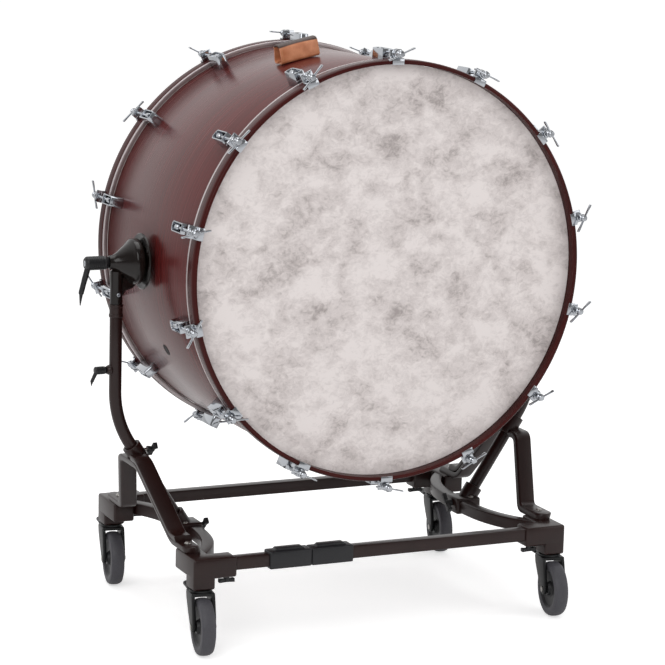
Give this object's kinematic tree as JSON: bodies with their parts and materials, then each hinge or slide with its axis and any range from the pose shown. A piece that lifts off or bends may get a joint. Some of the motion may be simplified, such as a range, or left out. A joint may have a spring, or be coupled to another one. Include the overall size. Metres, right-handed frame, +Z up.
{
  "type": "concert bass drum",
  "caption": "Large two-headed concert bass drum with stained wooden shell and hoops, chromed rods and claws, hung on side spindles in a wheeled stand where it tilts right over.",
  "frame": {"origin": "on the floor, under the middle of the stand", "axes": "+Z up, the drum's axis lies along Y and its front head faces -Y, and it tilts about X"},
  "size_m": [1.2358, 0.7632, 1.3114],
  "materials": {
    "stained_shell": "deep red-brown stain under satin lacquer",
    "stained_hoop": "deep red-brown stain under satin lacquer, with chromed claws",
    "head_film": "cloudy cream film",
    "pale_aluminium": "plain rolled channel",
    "chrome": "polished",
    "dark_bronze_paint": "fine powder coat",
    "black_plastic": "moulded",
    "caster_housing": "dark grey satin",
    "wheel_rubber": "grey tread on a dark hub",
    "strap_leather": "smooth tan hide"
  },
  "bodies": {
    "stand": {"left_side_frame": "dark_bronze_paint", "right_side_frame": "dark_bronze_paint", "front_cross_bar": "dark_bronze_paint", "rear_cross_bar": "dark_bronze_paint", "left_bar_sleeve": "black_plastic", "right_bar_sleeve": "black_plastic", "left_upright": "dark_bronze_paint", "right_upright": "dark_bronze_paint"},
    "left_carriage": {"left_trunnion_housing": "dark_bronze_paint"},
    "right_carriage": {"right_trunnion_housing": "dark_bronze_paint"},
    "drum": {"shell": "stained_shell", "front_head": "head_film", "rear_head": "head_film", "front_flesh_hoop": "pale_aluminium", "rear_flesh_hoop": "pale_aluminium", "front_counterhoop": "stained_hoop", "rear_counterhoop": "stained_hoop", "carrying_strap": "strap_leather", "left_backing_plate": "pale_aluminium", "right_backing_plate": "pale_aluminium", "left_tilt_spindle": "dark_bronze_paint", "right_tilt_spindle": "dark_bronze_paint"},
    "front_tension_rod_01": {"front_tension_rod_01": "chrome"},
    "front_tension_rod_02": {"front_tension_rod_02": "chrome"},
    "front_tension_rod_03": {"front_tension_rod_03": "chrome"},
    "front_tension_rod_04": {"front_tension_rod_04": "chrome"},
    "front_tension_rod_05": {"front_tension_rod_05": "chrome"},
    "front_tension_rod_06": {"front_tension_rod_06": "chrome"},
    "front_tension_rod_07": {"front_tension_rod_07": "chrome"},
    "front_tension_rod_08": {"front_tension_rod_08": "chrome"},
    "front_tension_rod_09": {"front_tension_rod_09": "chrome"},
    "front_tension_rod_10": {"front_tension_rod_10": "chrome"},
    "front_tension_rod_11": {"front_tension_rod_11": "chrome"},
    "front_tension_rod_12": {"front_tension_rod_12": "chrome"},
    "front_tension_rod_13": {"front_tension_rod_13": "chrome"},
    "front_tension_rod_14": {"front_tension_rod_14": "chrome"},
    "left_tilt_lever": {"left_tilt_lever": "black_plastic"},
    "left_height_lever": {"left_height_lever": "black_plastic"},
    "left_upper_clamp_knob": {"left_upper_clamp_knob": "black_plastic"},
    "left_lower_clamp_knob": {"left_lower_clamp_knob": "black_plastic"},
    "right_tilt_lever": {"right_tilt_lever": "black_plastic"},
    "right_height_lever": {"right_height_lever": "black_plastic"},
    "right_upper_clamp_knob": {"right_upper_clamp_knob": "black_plastic"},
    "right_lower_clamp_knob": {"right_lower_clamp_knob": "black_plastic"},
    "front_left_wing_screw": {"front_left_wing_screw": "black_plastic"},
    "front_left_caster_fork": {"front_left_caster_fork": "caster_housing"},
    "front_left_wheel": {"front_left_wheel": "wheel_rubber"},
    "front_left_brake_pedal": {"front_left_brake_pedal": "black_plastic"},
    "front_right_wing_screw": {"front_right_wing_screw": "black_plastic"},
    "front_right_caster_fork": {"front_right_caster_fork": "caster_housing"},
    "front_right_wheel": {"front_right_wheel": "wheel_rubber"},
    "front_right_brake_pedal": {"front_right_brake_pedal": "black_plastic"},
    "rear_left_wing_screw": {"rear_left_wing_screw": "black_plastic"},
    "rear_left_caster_fork": {"rear_left_caster_fork": "caster_housing"},
    "rear_left_wheel": {"rear_left_wheel": "wheel_rubber"},
    "rear_left_brake_pedal": {"rear_left_brake_pedal": "black_plastic"},
    "rear_right_wing_screw": {"rear_right_wing_screw": "black_plastic"},
    "rear_right_caster_fork": {"rear_right_caster_fork": "caster_housing"},
    "rear_right_wheel": {"rear_right_wheel": "wheel_rubber"},
    "rear_right_brake_pedal": {"rear_right_brake_pedal": "black_plastic"}
  },
  "joints": [
    {"name": "left_height_slide", "type": "slide", "parent": "stand", "child": "left_carriage", "axis": [0, 0, 1], "range_m": [0, 0.04]},
    {"name": "right_height_slide", "type": "slide", "parent": "stand", "child": "right_carriage", "axis": [0, 0, 1], "range_m": [0, 0.04]},
    {"name": "drum_tilt", "type": "hinge", "parent": "left_carriage", "child": "drum", "pos_m": [0, 0, 0.813], "axis": [1, 0, 0], "continuous": true},
    {"name": "front_tension_rod_01_turn", "type": "hinge", "parent": "drum", "child": "front_tension_rod_01", "pos_m": [0, -0.3, 1.293], "axis": [0, -1, 0], "continuous": true},
    {"name": "front_tension_rod_02_turn", "type": "hinge", "parent": "drum", "child": "front_tension_rod_02", "pos_m": [0.20826, -0.3, 1.24547], "axis": [0, -1, 0], "continuous": true},
    {"name": "front_tension_rod_03_turn", "type": "hinge", "parent": "drum", "child": "front_tension_rod_03", "pos_m": [0.37528, -0.3, 1.11227], "axis": [0, -1, 0], "continuous": true},
    {"name": "front_tension_rod_04_turn", "type": "hinge", "parent": "drum", "child": "front_tension_rod_04", "pos_m": [0.46797, -0.3, 0.91981], "axis": [0, -1, 0], "continuous": true},
    {"name": "front_tension_rod_05_turn", "type": "hinge", "parent": "drum", "child": "front_tension_rod_05", "pos_m": [0.46797, -0.3, 0.70619], "axis": [0, -1, 0], "continuous": true},
    {"name": "front_tension_rod_06_turn", "type": "hinge", "parent": "drum", "child": "front_tension_rod_06", "pos_m": [0.37528, -0.3, 0.51372], "axis": [0, -1, 0], "continuous": true},
    {"name": "front_tension_rod_07_turn", "type": "hinge", "parent": "drum", "child": "front_tension_rod_07", "pos_m": [0.20826, -0.3, 0.38054], "axis": [0, -1, 0], "continuous": true},
    {"name": "front_tension_rod_08_turn", "type": "hinge", "parent": "drum", "child": "front_tension_rod_08", "pos_m": [0, -0.3, 0.333], "axis": [0, -1, 0], "continuous": true},
    {"name": "front_tension_rod_09_turn", "type": "hinge", "parent": "drum", "child": "front_tension_rod_09", "pos_m": [-0.20826, -0.3, 0.38054], "axis": [0, -1, 0], "continuous": true},
    {"name": "front_tension_rod_10_turn", "type": "hinge", "parent": "drum", "child": "front_tension_rod_10", "pos_m": [-0.37528, -0.3, 0.51372], "axis": [0, -1, 0], "continuous": true},
    {"name": "front_tension_rod_11_turn", "type": "hinge", "parent": "drum", "child": "front_tension_rod_11", "pos_m": [-0.46797, -0.3, 0.70619], "axis": [0, -1, 0], "continuous": true},
    {"name": "front_tension_rod_12_turn", "type": "hinge", "parent": "drum", "child": "front_tension_rod_12", "pos_m": [-0.46797, -0.3, 0.91981], "axis": [0, -1, 0], "continuous": true},
    {"name": "front_tension_rod_13_turn", "type": "hinge", "parent": "drum", "child": "front_tension_rod_13", "pos_m": [-0.37528, -0.3, 1.11227], "axis": [0, -1, 0], "continuous": true},
    {"name": "front_tension_rod_14_turn", "type": "hinge", "parent": "drum", "child": "front_tension_rod_14", "pos_m": [-0.20826, -0.3, 1.24547], "axis": [0, -1, 0], "continuous": true},
    {"name": "left_tilt_lever_turn", "type": "hinge", "parent": "left_carriage", "child": "left_tilt_lever", "pos_m": [-0.5473, 0, 0.813], "axis": [-1, 0, 0], "range_deg": [-90, 90]},
    {"name": "left_height_lever_turn", "type": "hinge", "parent": "stand", "child": "left_height_lever", "pos_m": [-0.5493, 0, 0.5715], "axis": [-1, 0, 0], "range_deg": [-90, 90]},
    {"name": "left_upper_clamp_knob_turn", "type": "hinge", "parent": "stand", "child": "left_upper_clamp_knob", "pos_m": [-0.45, 0, 0.384], "axis": [-1, 0, 0], "continuous": true},
    {"name": "left_lower_clamp_knob_turn", "type": "hinge", "parent": "stand", "child": "left_lower_clamp_knob", "pos_m": [-0.3237, 0, 0.197], "axis": [-1, 0, 0], "continuous": true},
    {"name": "right_tilt_lever_turn", "type": "hinge", "parent": "right_carriage", "child": "right_tilt_lever", "pos_m": [0.5473, 0, 0.813], "axis": [1, 0, 0], "range_deg": [-90, 90]},
    {"name": "right_height_lever_turn", "type": "hinge", "parent": "stand", "child": "right_height_lever", "pos_m": [0.5493, 0, 0.5715], "axis": [1, 0, 0], "range_deg": [-90, 90]},
    {"name": "right_upper_clamp_knob_turn", "type": "hinge", "parent": "stand", "child": "right_upper_clamp_knob", "pos_m": [0.45, 0, 0.384], "axis": [1, 0, 0], "continuous": true},
    {"name": "right_lower_clamp_knob_turn", "type": "hinge", "parent": "stand", "child": "right_lower_clamp_knob", "pos_m": [0.3237, 0, 0.197], "axis": [1, 0, 0], "continuous": true},
    {"name": "front_left_wing_screw_turn", "type": "hinge", "parent": "stand", "child": "front_left_wing_screw", "pos_m": [-0.373, -0.294, 0.1637], "axis": [0, 0, 1], "continuous": true},
    {"name": "front_left_caster_swivel", "type": "hinge", "parent": "stand", "child": "front_left_caster_fork", "pos_m": [-0.431, -0.289, 0.14], "axis": [0, 0, 1], "continuous": true},
    {"name": "front_left_wheel_roll", "type": "hinge", "parent": "front_left_caster_fork", "child": "front_left_wheel", "pos_m": [-0.43517, -0.31871, 0.0625], "axis": [0.9903, -0.1392, 0], "continuous": true},
    {"name": "front_left_brake_pedal_press", "type": "hinge", "parent": "front_left_caster_fork", "child": "front_left_brake_pedal", "pos_m": [-0.42634, -0.25583, 0.1295], "axis": [-0.9903, 0.1392, 0], "range_deg": [0, 15]},
    {"name": "front_right_wing_screw_turn", "type": "hinge", "parent": "stand", "child": "front_right_wing_screw", "pos_m": [0.373, -0.294, 0.1637], "axis": [0, 0, 1], "continuous": true},
    {"name": "front_right_caster_swivel", "type": "hinge", "parent": "stand", "child": "front_right_caster_fork", "pos_m": [0.431, -0.289, 0.14], "axis": [0, 0, 1], "continuous": true},
    {"name": "front_right_wheel_roll", "type": "hinge", "parent": "front_right_caster_fork", "child": "front_right_wheel", "pos_m": [0.42683, -0.31871, 0.0625], "axis": [0.9903, -0.1392, 0], "continuous": true},
    {"name": "front_right_brake_pedal_press", "type": "hinge", "parent": "front_right_caster_fork", "child": "front_right_brake_pedal", "pos_m": [0.43566, -0.25583, 0.1295], "axis": [-0.9903, 0.1392, 0], "range_deg": [0, 15]},
    {"name": "rear_left_wing_screw_turn", "type": "hinge", "parent": "stand", "child": "rear_left_wing_screw", "pos_m": [-0.373, 0.294, 0.1637], "axis": [0, 0, 1], "continuous": true},
    {"name": "rear_left_caster_swivel", "type": "hinge", "parent": "stand", "child": "rear_left_caster_fork", "pos_m": [-0.431, 0.289, 0.14], "axis": [0, 0, 1], "continuous": true},
    {"name": "rear_left_wheel_roll", "type": "hinge", "parent": "rear_left_caster_fork", "child": "rear_left_wheel", "pos_m": [-0.43517, 0.25929, 0.0625], "axis": [0.9903, -0.1392, 0], "continuous": true},
    {"name": "rear_left_brake_pedal_press", "type": "hinge", "parent": "rear_left_caster_fork", "child": "rear_left_brake_pedal", "pos_m": [-0.42634, 0.32217, 0.1295], "axis": [-0.9903, 0.1392, 0], "range_deg": [0, 15]},
    {"name": "rear_right_wing_screw_turn", "type": "hinge", "parent": "stand", "child": "rear_right_wing_screw", "pos_m": [0.373, 0.294, 0.1637], "axis": [0, 0, 1], "continuous": true},
    {"name": "rear_right_caster_swivel", "type": "hinge", "parent": "stand", "child": "rear_right_caster_fork", "pos_m": [0.431, 0.289, 0.14], "axis": [0, 0, 1], "continuous": true},
    {"name": "rear_right_wheel_roll", "type": "hinge", "parent": "rear_right_caster_fork", "child": "rear_right_wheel", "pos_m": [0.42683, 0.25929, 0.0625], "axis": [0.9903, -0.1392, 0], "continuous": true},
    {"name": "rear_right_brake_pedal_press", "type": "hinge", "parent": "rear_right_caster_fork", "child": "rear_right_brake_pedal", "pos_m": [0.43566, 0.32217, 0.1295], "axis": [-0.9903, 0.1392, 0], "range_deg": [0, 15]}
  ],
  "couplings": [
    {"joint": "right_height_slide", "follows": "left_height_slide", "ratio": 1}
  ]
}
